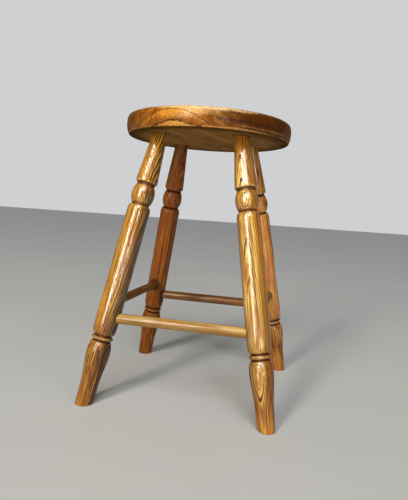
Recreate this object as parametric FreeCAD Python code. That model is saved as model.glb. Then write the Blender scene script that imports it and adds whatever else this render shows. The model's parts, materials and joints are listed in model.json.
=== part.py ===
import FreeCAD, Part
import math
import os

# A stool with a round seat, four turned legs that splay outwards, and four plain round stretchers.
# Lengths are in millimetres. +Z is up and the front of the stool faces -Y.
# The origin is on the floor, under the middle of the seat.

# Whole stool
stool_height = 506.0         # floor to the top of the seat
glue_gap = 0.15              # room for glue round every tenon
bore_end_gap = 0.6           # room past the end of every tenon
overrun = 6.0                # how far a cutting shape passes the face that it cuts
same_place = 0.01            # two places nearer than this are the same

# Seat: a turned disc with a bullnose rim
seat_diameter = 300.0        # at the widest place of the rim
seat_thickness = 32.0
seat_widest_place = 17.0     # height of the widest place above the underside
seat_side_curve = 40.0       # radius of the rim's side, which is crowned above and below the widest place
seat_top_round = 6.0         # radius between the side and the flat top
seat_edge_round = 3.0        # radius between the side and the underside
socket_depth = 20.0          # of each leg's socket, along the leg

# Legs: turned in the lathe, with the foot cut flat on the floor
leg_spread_at_seat = 141.8   # between leg axes at the seat's underside, along X and along Y
leg_spread_at_floor = 321.0  # between leg axes at the floor
leg_diameter = 41.0          # greatest diameter of the turning
leg_top_diameter = 25.8      # of the tenon, and of the leg where it meets the seat
leg_top_straight = 3.0       # straight length under the lowest point of the socket's mouth
foot_edge_round = 1.0        # worn edge of the foot

# Stretchers: plain round rails. The side pair is thinner, and bored above the front and back pair.
front_stretcher_diameter = 18.5  # of the back one too
side_stretcher_diameter = 15.5
front_stretcher_height = 152.0   # of the rail's axis above the floor
mortise_web = 8.0                # wood left in a leg between its two mortises
mortise_depth = 20.0             # from the leg's greatest radius towards its axis
stretcher_end_bevel = 1.0        # softened ends, hidden in the mortises

# Outline of a leg, from the foot upwards. Each point is a share of the leg's length to the seat's
# underside, then a share of the leg's greatest radius. The first point is below the floor, because
# the foot is turned overlong and cut off level.
foot_shares = ((-0.0121, 0.704), (0.0492, 0.752), (0.0974, 0.803), (0.1436, 0.912), (0.1747, 0.985),
               (0.1968, 1.000), (0.2159, 0.950), (0.2315, 0.835))
lower_groove_shares = ((0.2360, 0.740), (0.2405, 0.845))
ring_shares = ((0.2458, 0.915), (0.2511, 0.845))
upper_groove_shares = ((0.2556, 0.745), (0.2599, 0.850))
shaft_shares = ((0.2671, 0.935), (0.2812, 0.984), (0.3093, 1.000), (0.4067, 0.990), (0.5322, 0.975),
                (0.6427, 0.965), (0.7030, 0.960), (0.7215, 0.945), (0.7321, 0.868))
ball_groove_shares = ((0.7383, 0.735), (0.7431, 0.800))
ball_shares = ((0.7723, 0.962), (0.8024, 0.815))
neck_shares = ((0.8079, 0.755), (0.8164, 0.800))
shoulder_shares = ((0.8174, 0.880), (0.8200, 0.920))

seat_radius = seat_diameter / 2
seat_underside = stool_height - seat_thickness
seat_widest_height = seat_underside + seat_widest_place
leg_radius = leg_diameter / 2
leg_top_radius = leg_top_diameter / 2
front_stretcher_radius = front_stretcher_diameter / 2
side_stretcher_radius = side_stretcher_diameter / 2
side_stretcher_height = front_stretcher_height + front_stretcher_radius + mortise_web + side_stretcher_radius

# Where each leg stands: the sign of its X place, then of its Y place
leg_sides = {
    "leg_front_left": (-1, -1),
    "leg_front_right": (1, -1),
    "leg_back_left": (-1, 1),
    "leg_back_right": (1, 1),
}

# The two legs that each stretcher joins, the height of its axis and its radius
stretcher_places = {
    "stretcher_front": ("leg_front_left", "leg_front_right", front_stretcher_height, front_stretcher_radius),
    "stretcher_back": ("leg_back_left", "leg_back_right", front_stretcher_height, front_stretcher_radius),
    "stretcher_left": ("leg_front_left", "leg_back_left", side_stretcher_height, side_stretcher_radius),
    "stretcher_right": ("leg_front_right", "leg_back_right", side_stretcher_height, side_stretcher_radius),
}


class Outline:
    """Half of a turned shape, drawn as points (radius, height) and spun round the Z axis."""

    def __init__(self, radius, height):
        self.here = FreeCAD.Vector(radius, 0, height)
        self.edges = []

    def add(self, curve, end):
        self.edges.append(curve.toShape())
        self.here = end

    def line_to(self, radius, height):
        end = FreeCAD.Vector(radius, 0, height)
        self.add(Part.LineSegment(self.here, end), end)

    def arc_to(self, middle, end):
        middle = FreeCAD.Vector(middle[0], 0, middle[1])
        end = FreeCAD.Vector(end[0], 0, end[1])
        self.add(Part.Arc(self.here, middle, end), end)

    def smooth_to(self, points):
        through = [self.here] + [FreeCAD.Vector(radius, 0, height) for radius, height in points]
        curve = Part.BSplineCurve()
        curve.interpolate(through)
        self.add(curve, through[-1])

    def spin(self):
        """Closes the outline along the axis and turns it into a solid."""
        start = self.edges[0].Vertexes[0].Point
        self.add(Part.LineSegment(self.here, start), start)
        face = Part.Face(Part.Wire(self.edges))
        return face.revolve(FreeCAD.Vector(0, 0, 0), FreeCAD.Vector(0, 0, 1), 360)


def round_bar(start, end, radius):
    """A cylinder from one point to another."""
    along = end - start
    return Part.makeCylinder(radius, along.Length, start, along)


def edges_at_height(solid, height):
    """The edges of a solid that lie in one level plane."""
    def level(edge):
        box = edge.BoundBox
        return abs(box.ZMin - height) < same_place and abs(box.ZMax - height) < same_place
    return [edge for edge in solid.Edges if level(edge)]


# The axis of a leg

def leg_foot(name):
    """Where the leg's axis meets the floor."""
    side_x, side_y = leg_sides[name]
    return FreeCAD.Vector(side_x * leg_spread_at_floor / 2, side_y * leg_spread_at_floor / 2, 0)


def leg_head(name):
    """Where the leg's axis meets the seat's underside."""
    side_x, side_y = leg_sides[name]
    return FreeCAD.Vector(side_x * leg_spread_at_seat / 2, side_y * leg_spread_at_seat / 2, seat_underside)


def leg_axis(name):
    """The direction of the leg, from the foot to the seat."""
    return (leg_head(name) - leg_foot(name)).normalize()


def on_leg(name, height):
    """The point of the leg's axis at a height above the floor."""
    return leg_foot(name) + (leg_head(name) - leg_foot(name)) * (height / seat_underside)


leg_length = (leg_head("leg_front_left") - leg_foot("leg_front_left")).Length
splay_slope = math.tan(leg_axis("leg_front_left").getAngle(FreeCAD.Vector(0, 0, 1)))


# The turning

def leg_points(shares):
    """The points of one stretch of the leg's outline, as (radius, height along the leg)."""
    return [(leg_radius * radius_share, leg_length * length_share) for length_share, radius_share in shares]


def turned_leg():
    """A leg standing on its axis at the origin, longer at the foot than it will be."""
    foot = leg_points(foot_shares)
    outline = Outline(0, foot[0][1])
    outline.line_to(*foot[0])
    outline.smooth_to(foot[1:])
    for groove_or_bead in (lower_groove_shares, ring_shares, upper_groove_shares):
        outline.arc_to(*leg_points(groove_or_bead))
    outline.smooth_to(leg_points(shaft_shares))
    for groove_or_bead in (ball_groove_shares, ball_shares, neck_shares):
        outline.arc_to(*leg_points(groove_or_bead))
    for point in leg_points(shoulder_shares):
        outline.line_to(*point)
    outline.line_to(leg_top_radius, leg_length - leg_top_radius * splay_slope - leg_top_straight)
    outline.line_to(leg_top_radius, leg_length + socket_depth)
    outline.line_to(0, leg_length + socket_depth)
    return outline.spin()


def stretcher_ends(name):
    """The two ends of a stretcher, inside its legs."""
    first_leg, second_leg, height = stretcher_places[name][:3]
    first = on_leg(first_leg, height)
    second = on_leg(second_leg, height)
    along = (second - first).normalize()
    short_of_axis = leg_radius - mortise_depth
    return first + along * short_of_axis, second - along * short_of_axis


def stretcher(name):
    """A plain round rail."""
    radius = stretcher_places[name][3]
    rail = round_bar(*stretcher_ends(name), radius)
    ends = [edge for edge in rail.Edges if isinstance(edge.Curve, Part.Circle)]
    return rail.makeChamfer(stretcher_end_bevel, ends)


def mortise_cutter(name):
    """The bores of both ends of a stretcher in one bar."""
    radius = stretcher_places[name][3]
    first, second = stretcher_ends(name)
    past_end = (second - first).normalize() * bore_end_gap
    return round_bar(first - past_end, second + past_end, radius + glue_gap)


def leg(name):
    """A leg in its place, cut flat at the floor and bored for its two stretchers."""
    solid = turned_leg()
    solid.Placement = FreeCAD.Placement(leg_foot(name), FreeCAD.Rotation(FreeCAD.Vector(0, 0, 1), leg_axis(name)))
    floor = Part.makeBox(leg_diameter * 2, leg_diameter * 2, leg_diameter)
    floor.translate(leg_foot(name) - FreeCAD.Vector(leg_diameter, leg_diameter, leg_diameter))
    solid = solid.cut(floor)
    solid = solid.makeFillet(foot_edge_round, edges_at_height(solid, 0))
    for stretcher_name, place in stretcher_places.items():
        if name in place:
            solid = solid.cut(mortise_cutter(stretcher_name))
    return solid


def socket_cutter(name):
    """The blind round socket of a leg in the seat."""
    below = leg_head(name) - leg_axis(name) * (leg_top_radius * splay_slope + overrun)
    bottom = leg_head(name) + leg_axis(name) * (socket_depth + bore_end_gap)
    return round_bar(below, bottom, leg_top_radius + glue_gap)


def on_rim(height):
    """The point of the seat's crowned side at a height."""
    above_widest = height - seat_widest_height
    return seat_radius - seat_side_curve + math.sqrt(seat_side_curve ** 2 - above_widest ** 2), height


def seat_top_edge():
    """Where the top round leaves the side without a corner, its middle, and where it meets the flat top."""
    share = seat_top_round / seat_side_curve
    start_height = (stool_height - seat_top_round - share * seat_widest_height) / (1 - share)
    start = on_rim(start_height)
    slope = math.asin((start_height - seat_widest_height) / seat_side_curve)
    centre_radius = start[0] - seat_top_round * math.cos(slope)
    middle_slope = (slope + math.pi / 2) / 2
    middle = (centre_radius + seat_top_round * math.cos(middle_slope),
              stool_height - seat_top_round + seat_top_round * math.sin(middle_slope))
    return start, middle, (centre_radius, stool_height)


def seat():
    """The seat, with a socket for each leg."""
    round_start, round_middle, round_end = seat_top_edge()
    outline = Outline(0, seat_underside)
    outline.line_to(*on_rim(seat_underside))
    outline.arc_to(on_rim(seat_widest_height), round_start)
    outline.arc_to(round_middle, round_end)
    outline.line_to(0, stool_height)
    solid = outline.spin()
    solid = solid.makeFillet(seat_edge_round, edges_at_height(solid, seat_underside))
    for name in leg_sides:
        solid = solid.cut(socket_cutter(name))
    return solid


def save(name, shape):
    """Writes one piece to its own file."""
    shape.exportStep("parts/" + name + ".step")
    box = shape.optimalBoundingBox(True, False)
    print(f"{name}: {len(shape.Solids)} solid, valid {shape.isValid()}, volume {shape.Volume:.0f} mm3, "
          f"x {box.XMin:.1f} to {box.XMax:.1f}, y {box.YMin:.1f} to {box.YMax:.1f}, "
          f"z {box.ZMin:.1f} to {box.ZMax:.1f}")


os.makedirs("parts", exist_ok=True)
save("seat", seat())
for name in leg_sides:
    save(name, leg(name))
for name in stretcher_places:
    save(name, stretcher(name))
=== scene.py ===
"""The finished look of a wooden stool: a round seat on four splayed turned legs, tied by round stretchers.

Lengths are in metres unless a name or a comment says otherwise. +Z is up, the front of the stool faces -Y,
and the origin is on the floor under the middle of the seat. Every piece of wood is turned by one lathe of
geometry nodes, and dressed in a procedural wood whose growth rings run through the solid piece.
"""
import json
import logging
import math
from dataclasses import dataclass
from dataclasses import field
from dataclasses import replace
from enum import Enum
from functools import partialmethod

import bpy
import numpy as np
from mathutils import Euler
from mathutils import Matrix
from mathutils import Vector


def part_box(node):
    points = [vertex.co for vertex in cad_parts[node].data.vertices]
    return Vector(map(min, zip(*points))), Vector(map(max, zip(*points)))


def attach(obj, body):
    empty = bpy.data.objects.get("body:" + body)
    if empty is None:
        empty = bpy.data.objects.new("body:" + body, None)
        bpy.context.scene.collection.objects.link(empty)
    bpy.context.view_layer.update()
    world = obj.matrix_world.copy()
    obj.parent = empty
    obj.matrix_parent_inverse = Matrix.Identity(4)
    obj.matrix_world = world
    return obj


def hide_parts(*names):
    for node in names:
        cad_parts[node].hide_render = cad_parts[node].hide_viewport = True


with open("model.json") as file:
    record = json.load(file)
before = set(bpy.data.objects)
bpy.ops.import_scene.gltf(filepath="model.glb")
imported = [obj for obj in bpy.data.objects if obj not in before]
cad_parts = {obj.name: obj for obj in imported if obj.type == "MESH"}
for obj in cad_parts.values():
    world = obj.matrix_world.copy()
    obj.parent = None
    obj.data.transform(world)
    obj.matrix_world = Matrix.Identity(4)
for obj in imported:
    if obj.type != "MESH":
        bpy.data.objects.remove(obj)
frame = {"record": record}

log = logging.getLogger("stool")

BODY = "root"
MILLIMETRE = 0.001
RELIEF = "relief"  # the attribute that says how far a point stands out of its surroundings, in millimetres
UP = Vector((0, 0, 1))
LEVEL = (1.0, 1.0, 0.0)  # drops the height of a place that is multiplied by it
PICKER_FULL = 255.0  # the largest value of a colour picker
GAMMA = 2.2
CURVE_STEPS = 2      # the least between two knots of a smooth curve
ARC_STEPS = 4        # the least in an arc
CORNER_POINTS = 7    # in a corner that is rubbed soft
RELIEF_SAMPLES = 9   # along an outline, round one of its points

Tone = tuple[float, float, float, float]
Pairs = tuple[tuple[float, float], ...]


class Finish(Enum):
    """The record's material slots."""

    SEAT = "seat_wood"
    GOLDEN_LEG = "golden_leg_wood"
    RED_LEG = "red_leg_wood"
    STRETCHER = "stretcher_wood"


class Term:
    """The output of a node, on which plain arithmetic adds further nodes."""

    def __init__(self, pen: "NodePen", socket: bpy.types.NodeSocket) -> None:
        """Takes the pen that draws in the tree, and the output."""
        self.pen = pen
        self.socket = socket

    def then(self, operation: str, *others: object) -> "Term":
        """A sum with this term first and others after it."""
        return self.pen.reckon(operation, self, *others)

    def less_from(self, other: float) -> "Term":
        """A number less this term."""
        return self.pen.reckon("SUBTRACT", other, self)

    __add__ = __radd__ = partialmethod(then, "ADD")
    __sub__ = partialmethod(then, "SUBTRACT")
    __rsub__ = less_from
    __mul__ = __rmul__ = partialmethod(then, "MULTIPLY")
    __truediv__ = partialmethod(then, "DIVIDE")
    __pow__ = partialmethod(then, "POWER")
    at_least = partialmethod(then, "MAXIMUM")
    at_most = partialmethod(then, "MINIMUM")
    dot = partialmethod(then, "DOT_PRODUCT")
    cross = partialmethod(then, "CROSS_PRODUCT")
    length = partialmethod(then, "LENGTH")

    def is_vector(self) -> bool:
        """Whether the term is a vector or a colour, not a number."""
        return self.socket.type in ("VECTOR", "RGBA")

    def clamped(self) -> "Term":
        """Keeps the sum that made the term between 0 and 1."""
        self.socket.node.use_clamp = True
        return self

    def part(self, axis: str) -> "Term":
        """One part of a vector: X, Y or Z."""
        return self.pen.take("ShaderNodeSeparateXYZ", {0: self}, axis)

    def between(self, low: float, high: float) -> "Term":
        """Stretches a term that runs from 0 to 1 so that it runs from low to high."""
        return self.then("MULTIPLY_ADD", high - low, low)

    def ramp(self, low: object, high: object) -> "Term":
        """Eases from 0 where the term is low to 1 where it is high, and goes no further."""
        inputs = {"Value": self, "From Min": low, "From Max": high}
        return self.pen.take("ShaderNodeMapRange", inputs, "Result", interpolation_type="SMOOTHSTEP")


class NodePen:
    """Adds nodes to a tree and joins their sockets."""

    def __init__(self, tree: bpy.types.NodeTree) -> None:
        """Takes the shader or geometry node tree to draw in."""
        self.tree = tree

    def node(self, kind: str, inputs: dict | None = None, **settings: object) -> bpy.types.Node:
        """Adds one node.

        Args:
            kind: Blender's name of the node type.
            inputs: what each input takes, by its name or number: a term or a plain value.
            settings: properties of the node.

        Returns:
            The new node.
        """
        made = self.tree.nodes.new(kind)
        for name, value in settings.items():
            setattr(made, name, value)
        for name, value in (inputs or {}).items():
            self.feed(made.inputs[name], value)
        return made

    def feed(self, socket: bpy.types.NodeSocket, value: object) -> None:
        """Joins a term to an input, or sets the input to a plain value.

        Args:
            socket: the input.
            value: a term, or a value that the input can hold.
        """
        if isinstance(value, Term):
            self.tree.links.new(value.socket, socket)
        else:
            socket.default_value = value

    def take(self, kind: str, inputs: dict | None = None, output: object = 0, **settings: object) -> Term:
        """Adds one node and takes the output of that name or number."""
        return Term(self, self.node(kind, inputs, **settings).outputs[output])

    def shown(self, made: bpy.types.Node, terms: tuple) -> Term:
        """Feeds the inputs that a node shows in its present setting.

        Args:
            made: the node.
            terms: what they take, in order.

        Returns:
            The output that the node shows.
        """
        inputs = [socket for socket in made.inputs if socket.enabled]
        for socket, term in zip(inputs, terms):
            self.feed(socket, term)
        return Term(self, next(socket for socket in made.outputs if socket.enabled))

    def reckon(self, operation: str, *terms: object) -> Term:
        """A Math node, or a Vector Math node where a term is a vector.

        Args:
            operation: the node's operation.
            terms: terms, numbers or vectors, with a vector before what scales it.

        Returns:
            The result.
        """
        vectors = [term.is_vector() if isinstance(term, Term) else isinstance(term, (tuple, Vector))
                   for term in terms]
        if not any(vectors):
            return self.take("ShaderNodeMath", dict(enumerate(terms)), operation=operation)
        if operation == "MULTIPLY" and not all(vectors):
            operation = "SCALE"
        return self.shown(self.node("ShaderNodeVectorMath", operation=operation), terms)

    def join(self, x: object = 0.0, y: object = 0.0, z: object = 0.0) -> Term:
        """The vector of three parts."""
        return self.take("ShaderNodeCombineXYZ", {0: x, 1: y, 2: z})

    def noise(self, place: Term, detail: float, seed: object, output: str = "Fac") -> Term:
        """A noise in space, from 0 to 1, with so many finer layers. The seed picks one of many."""
        inputs = {"Vector": place, "W": seed, "Scale": 1.0, "Detail": detail}
        return self.take("ShaderNodeTexNoise", inputs, output, noise_dimensions="4D")

    def wave(self, place: Term, detail: float) -> Term:
        """A noise along a line, from 0 to 1, with so many finer layers."""
        inputs = {"W": place, "Scale": 1.0, "Detail": detail}
        return self.take("ShaderNodeTexNoise", inputs, noise_dimensions="1D")

    def mix(self, share: object, first: object, second: object, blend: str = "MIX") -> Term:
        """Blends the second colour into the first: not at all where the share is 0, fully at 1."""
        made = self.node("ShaderNodeMix", data_type="RGBA", blend_type=blend)
        return self.shown(made, (share, first, second))


def cleared(owner: bpy.types.ID) -> NodePen:
    """Empties the node tree of a material or a world.

    Args:
        owner: the material or world.

    Returns:
        A pen for its tree.
    """
    owner.use_nodes = True
    owner.node_tree.nodes.clear()
    return NodePen(owner.node_tree)


def put_in_scene(name: str, data: bpy.types.ID) -> bpy.types.Object:
    """Makes an object and puts it into the scene.

    Args:
        name: of the object.
        data: its mesh, light or camera.

    Returns:
        The object, at the origin.
    """
    made = bpy.data.objects.new(name, data)
    bpy.context.scene.collection.objects.link(made)
    return made


def facing(direction: Vector) -> Euler:
    """The turn that points a light in a direction."""
    return direction.to_track_quat("-Z", "Y").to_euler()


def colour(*picked: float) -> Tone:
    """A linear colour from the red, green and blue of a colour picker."""
    return tuple((value / PICKER_FULL) ** GAMMA for value in picked) + (1.0,)


# The lathe


def spline_points(through: list[Vector], step: float) -> list[Vector]:
    """Points along a natural cubic spline.

    Args:
        through: the points that it passes.
        step: the longest distance between the new points.

    Returns:
        The new points, with the first and last of the given ones at the ends.
    """
    knots = np.array([tuple(point) for point in through])
    gaps = np.linalg.norm(np.diff(knots, axis=0), axis=1)
    slopes = np.diff(knots, axis=0) / gaps[:, None]
    system = np.eye(len(knots))
    right_side = np.zeros_like(knots)
    for i in range(1, len(knots) - 1):
        system[i, i - 1:i + 2] = gaps[i - 1], 2 * (gaps[i - 1] + gaps[i]), gaps[i]
        right_side[i] = 6 * (slopes[i] - slopes[i - 1])
    bends = np.linalg.solve(system, right_side)
    points = [through[0]]
    for i, gap in enumerate(gaps):
        for share in np.linspace(0, 1, max(CURVE_STEPS, math.ceil(gap / step)) + 1)[1:]:
            rest = 1 - share
            sag = (rest ** 3 - rest) * bends[i] + (share ** 3 - share) * bends[i + 1]
            points.append(Vector(rest * knots[i] + share * knots[i + 1] + sag * gap ** 2 / 6))
    return points


def arc_points(start: Vector, middle: Vector, end: Vector, step: float) -> list[Vector]:
    """Points along the arc through three points.

    Args:
        start: the first point.
        middle: a point on the arc.
        end: the last point.
        step: the longest distance between the new points.

    Returns:
        The points of the arc, both ends included.
    """
    a = start - middle
    b = end - middle
    scale = 2 * a.cross(b)
    to_centre = Vector((b.y * a.length_squared - a.y * b.length_squared,
                        a.x * b.length_squared - b.x * a.length_squared)) / scale
    centre = middle + to_centre
    spoke = start - centre
    turn = -math.copysign(1, scale) * (2 * math.pi - 2 * a.angle(b))
    count = max(ARC_STEPS, math.ceil(abs(turn) * spoke.length / step))
    return [centre + Matrix.Rotation(turn * i / count, 2) @ spoke for i in range(count + 1)]


@dataclass
class Outline:
    """Half of a turned shape, drawn from one end of its axis to the other as (radius, height)."""

    start: Vector
    fine_step: float = 0.0004
    coarse_step: float = 0.003
    softening: float = 0.0005
    stretches: list[list[Vector]] = field(default_factory=list)

    @property
    def here(self) -> Vector:
        """Where the outline ends so far."""
        return self.stretches[-1][-1] if self.stretches else self.start

    def line_to(self, radius: float, height: float) -> None:
        """Adds a straight stretch.

        Args:
            radius: of its end.
            height: of its end.
        """
        end = Vector((radius, height))
        count = max(1, math.ceil((end - self.here).length / self.coarse_step))
        self.stretches.append([self.here.lerp(end, i / count) for i in range(count + 1)])

    def arc_to(self, middle: Vector, end: Vector) -> None:
        """Adds a round stretch through a middle point to an end."""
        self.stretches.append(arc_points(self.here, middle, end, self.fine_step))

    def curve_to(self, points: list[Vector]) -> None:
        """Adds a smooth stretch through some points."""
        self.stretches.append(spline_points([self.here] + points, self.coarse_step / 2))

    def points(self) -> list[Vector]:
        """The whole outline, with its corners rubbed soft.

        Returns:
            The points in order.
        """
        soft = list(self.stretches[0])
        for stretch in self.stretches[1:]:
            corner = stretch[0]
            before = [p for p in soft if (p - corner).length > self.softening]
            after = [p for p in stretch if (p - corner).length > self.softening]
            start = corner.lerp(before[-1], self.softening / (before[-1] - corner).length)
            end = corner.lerp(after[0], self.softening / (after[0] - corner).length)
            shares = np.linspace(0, 1, CORNER_POINTS)
            bend = [start.lerp(corner, t).lerp(corner.lerp(end, t), t) for t in shares]
            soft = before + bend + after
        return soft


def relief_of(points: list[Vector], reach: float = 0.0034) -> list[float]:
    """How far each point of an outline stands out of its surroundings.

    Args:
        points: the outline.
        reach: how far the surroundings go along the outline.

    Returns:
        Millimetres, above zero on edges and beads, below zero in grooves and zero near the axis.
    """
    flat = np.array([tuple(p) for p in points])
    along = np.concatenate([[0], np.cumsum(np.linalg.norm(np.diff(flat, axis=0), axis=1))])
    samples = np.linspace(-reach, reach, RELIEF_SAMPLES)
    relief = []
    for radius, place in zip(flat[:, 0], along):
        around = np.interp(np.clip(place + samples, along[0], along[-1]), along, flat[:, 0])
        relief.append(float(radius - around.mean()) / MILLIMETRE if radius > reach else 0.0)
    return relief


class Lathe:
    """Geometry nodes that spin an outline about an axis, and cut the result off level at the floor."""

    inputs = (
        ("Outline", "NodeSocketGeometry"),
        ("Around", "NodeSocketInt"),
        ("Foot", "NodeSocketVector"),
        ("Axis", "NodeSocketVector"),
        ("Unevenness", "NodeSocketFloat"),
        ("Unevenness Scale", "NodeSocketFloat"),
        ("Cut Round", "NodeSocketFloat"),
        ("Seed", "NodeSocketInt"),
        ("Wood", "NodeSocketMaterial"),
    )
    unevenness_scale = 38.0            # waves a metre
    even_near_axis = 5 * MILLIMETRE    # the unevenness fades out within it, so that the piece stays closed
    merge_distance = 1e-6
    least_rise = 0.1                   # of an axis, where it is cut level

    def __init__(self) -> None:
        """Builds the node tree."""
        self.tree = bpy.data.node_groups.new("lathe", "GeometryNodeTree")
        for name, kind in self.inputs:
            self.tree.interface.new_socket(name, in_out="INPUT", socket_type=kind)
        self.tree.interface.new_socket("Turned", in_out="OUTPUT", socket_type="NodeSocketGeometry")
        self.pen = NodePen(self.tree)
        given = self.pen.node("NodeGroupInput").outputs
        self.given = {name: Term(self.pen, given[name]) for name, _ in self.inputs}
        self.draw()

    def draw(self) -> None:
        """Draws the tree: spin, place, cut level, name the relief, close, smooth and dress."""
        pen = self.pen
        count = pen.take("GeometryNodeAttributeDomainSize", {0: self.given["Outline"]}, "Point Count")
        columns = self.whole("ADD", self.given["Around"], 1)
        index = pen.take("GeometryNodeInputIndex")
        row = self.whole("MODULO", index, count)
        column = self.whole("DIVIDE_FLOOR", index, count)
        point = self.sampled(pen.take("GeometryNodeInputPosition"), row, "FLOAT_VECTOR")
        attribute = pen.take("GeometryNodeInputNamedAttribute", {"Name": RELIEF}, data_type="FLOAT")
        relief = self.sampled(attribute, row, "FLOAT")
        shape = pen.take("GeometryNodeMeshGrid", {"Vertices X": columns, "Vertices Y": count}, "Mesh")
        stored = {"data_type": "FLOAT", "domain": "POINT"}
        steps = (
            ("SetPosition", {"Position": self.placed(point, column)}, {}),
            ("StoreNamedAttribute", {"Name": RELIEF, "Value": relief}, stored),
            ("MergeByDistance", {"Distance": self.merge_distance}, {}),
            ("SetShadeSmooth", {"Shade Smooth": True}, {}),
            ("RealizeInstances", {}, {}),
            ("SetMaterial", {"Material": self.given["Wood"]}, {}),
        )
        for step, inputs, settings in steps:
            shape = pen.take("GeometryNode" + step, {"Geometry": shape, **inputs}, **settings)
        pen.node("NodeGroupOutput", {0: shape})

    def whole(self, operation: str, first: object, second: object) -> Term:
        """A sum of whole numbers."""
        return self.pen.take("FunctionNodeIntegerMath", {0: first, 1: second}, operation=operation)

    def sampled(self, value: Term, row: Term, kind: str) -> Term:
        """The value, of some data type, that the outline's point of a row has."""
        inputs = {"Geometry": self.given["Outline"], "Value": value, "Index": row}
        return self.pen.take("GeometryNodeSampleIndex", inputs, data_type=kind, domain="POINT")

    def placed(self, point: Term, column: Term) -> Term:
        """Where a point of the outline comes to lie on the turned piece.

        Args:
            point: its radius and height, as the X and Z of a vector.
            column: its number round the piece.

        Returns:
            Its place in the stool.
        """
        pen = self.pen
        even = point.part("X")
        turn = column * (2 * math.pi) / self.given["Around"]
        spoke = pen.join(turn.then("COSINE"), turn.then("SINE"))
        centre = pen.join(z=point.part("Z"))
        waves = pen.noise((spoke * even + centre) * self.given["Unevenness Scale"], 1.0, self.given["Seed"])
        swing = (waves - 0.5) * self.given["Unevenness"]
        radius = (even + swing * even.ramp(0.0, self.even_near_axis)).at_least(0.0)
        height = self.in_stool(spoke, radius, centre).part("Z").at_least(0.0)
        rounding = self.given["Cut Round"]
        short = (rounding - height).at_least(0.0)
        inset = rounding - (rounding ** 2.0 - short ** 2.0).then("SQRT")
        return self.cut_level(self.in_stool(spoke, (radius - inset).at_least(0.0), centre))

    def in_stool(self, spoke: Term, radius: Term, centre: Term) -> Term:
        """Turns a place on the lathe into a place in the stool.

        Args:
            spoke: the direction away from the axis.
            radius: the distance from the axis.
            centre: the point of the axis.

        Returns:
            The place.
        """
        turn = self.pen.take("FunctionNodeAlignRotationToVector", {"Vector": self.given["Axis"]}, axis="Z")
        inputs = {"Vector": spoke * radius + centre, "Rotation": turn}
        return self.pen.take("FunctionNodeRotateVector", inputs) + self.given["Foot"]

    def cut_level(self, place: Term) -> Term:
        """Slides what is below the floor up along the axis."""
        axis = self.given["Axis"]
        return place - axis * (place.part("Z").at_most(0.0) / axis.part("Z").at_least(self.least_rise))

    def turn(self, piece: "Piece", wood: bpy.types.Material) -> bpy.types.Object:
        """Turns one piece.

        Args:
            piece: the piece.
            wood: its material.

        Returns:
            The piece as a plain mesh, at the origin, with its place in the mesh.
        """
        points = piece.outline().points()
        mesh = bpy.data.meshes.new(piece.name)
        edges = [(i, i + 1) for i in range(len(points) - 1)]
        mesh.from_pydata([(p.x, 0.0, p.y) for p in points], edges, [])
        mesh.attributes.new(RELIEF, "FLOAT", "POINT").data.foreach_set("value", relief_of(points))
        made = put_in_scene(piece.name, mesh)
        modifier = made.modifiers.new("lathe", "NODES")
        modifier.node_group = self.tree
        values = {"Around": piece.around, "Foot": piece.foot, "Axis": piece.axis,
                  "Unevenness": piece.unevenness, "Unevenness Scale": self.unevenness_scale,
                  "Cut Round": piece.cut_round, "Seed": piece.figure.seed, "Wood": wood}
        for item in self.tree.interface.items_tree:
            if item.name in values:
                modifier[item.identifier] = values[item.name]
        return plain_mesh(made)


def plain_mesh(piece: bpy.types.Object) -> bpy.types.Object:
    """Replaces a piece's mesh by what its modifiers make of it, and removes the modifiers.

    Args:
        piece: an object with live modifiers.

    Returns:
        The same object.
    """
    graph = bpy.context.evaluated_depsgraph_get()
    finished = bpy.data.meshes.new_from_object(
        piece.evaluated_get(graph), preserve_all_data_layers=True, depsgraph=graph)
    piece.modifiers.clear()
    raw = piece.data
    piece.data = finished
    bpy.data.meshes.remove(raw)
    finished.name = piece.name
    if finished.materials[0] is None:
        finished.materials.pop(index=0)
    return piece


# Wood


@dataclass(frozen=True)
class WoodColours:
    """The tones of one kind of stained and lacquered wood."""

    line: Tone
    body: Tone
    pale: Tone
    pore: Tone
    warm: Tone
    stain: Tone
    worn: Tone


@dataclass(frozen=True)
class Figure:
    """How the growth rings run through a piece. Lengths are in millimetres."""

    heart_distance: float       # from the piece's axis to the middle of the tree
    heart_turn: float           # degrees, the side of the piece that faces away from the heart
    ring_width: float
    line_width: float = 1.1     # of the dark porous line in each ring
    boldness: float = 1.0       # how dark the lines are
    porosity: float = 1.0       # how many open pores show
    streakiness: float = 0.55   # how dark the streaks between the rings are
    lean_out: float = 0.0       # how fast the rings lean away from the heart along the piece
    wander: float = 2.0         # how far the rings stray from straight
    ripple: float = 0.35        # how far the lines tremble
    drift: float = 1.2          # how uneven the rings' widths are
    fading: float = 1.0         # how much the lines come and go
    halo: float = 0.0           # how pale the wood is just after a line, as it always is before one
    phase: float = 0.0          # where in a ring the axis lies
    bow: Pairs = ()             # places along the piece, and how far the rings stand out there
    calm: tuple[float, ...] = ()  # sideways from the axis, where the lines begin and end to fade
    plain_side: bool = False    # whether the lines fade on the side that faces the heart
    painted_side_shade: float = 0.0      # painted shade: how much darker the side that faces away from the heart, turned from the lights, is
    seed: int = 0


@dataclass(frozen=True)
class Lacquer:
    """The coat of varnish, what years of use have done to it, and how far dirt and painted shade reach
    round the joints and near the floor.
    """

    weight: float = 0.8           # how much of the coat is left
    roughness: float = 0.16
    wood_roughness: float = 0.42  # of the wood under the coat
    wood_shine: float = 0.10
    wear: float = 0.5             # how far the stain is rubbed off the edges
    waviness: float = 0.10        # how uneven the coat is
    joint_darkening: float = 1.0             # how far dirt and painted shade reach round the joints
    grime_and_shade: float = 0.08           # the least darkening near the floor, floor dirt and painted shade
    scuff: float = 0.25           # how much of that darkening is taken off again at the very foot
    ior: float = 1.5


@dataclass(frozen=True)
class Joint:
    """A place where another piece goes in, round which dirt and stain gather and shade is painted."""

    centre: Vector
    along: Vector
    radius: float


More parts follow.
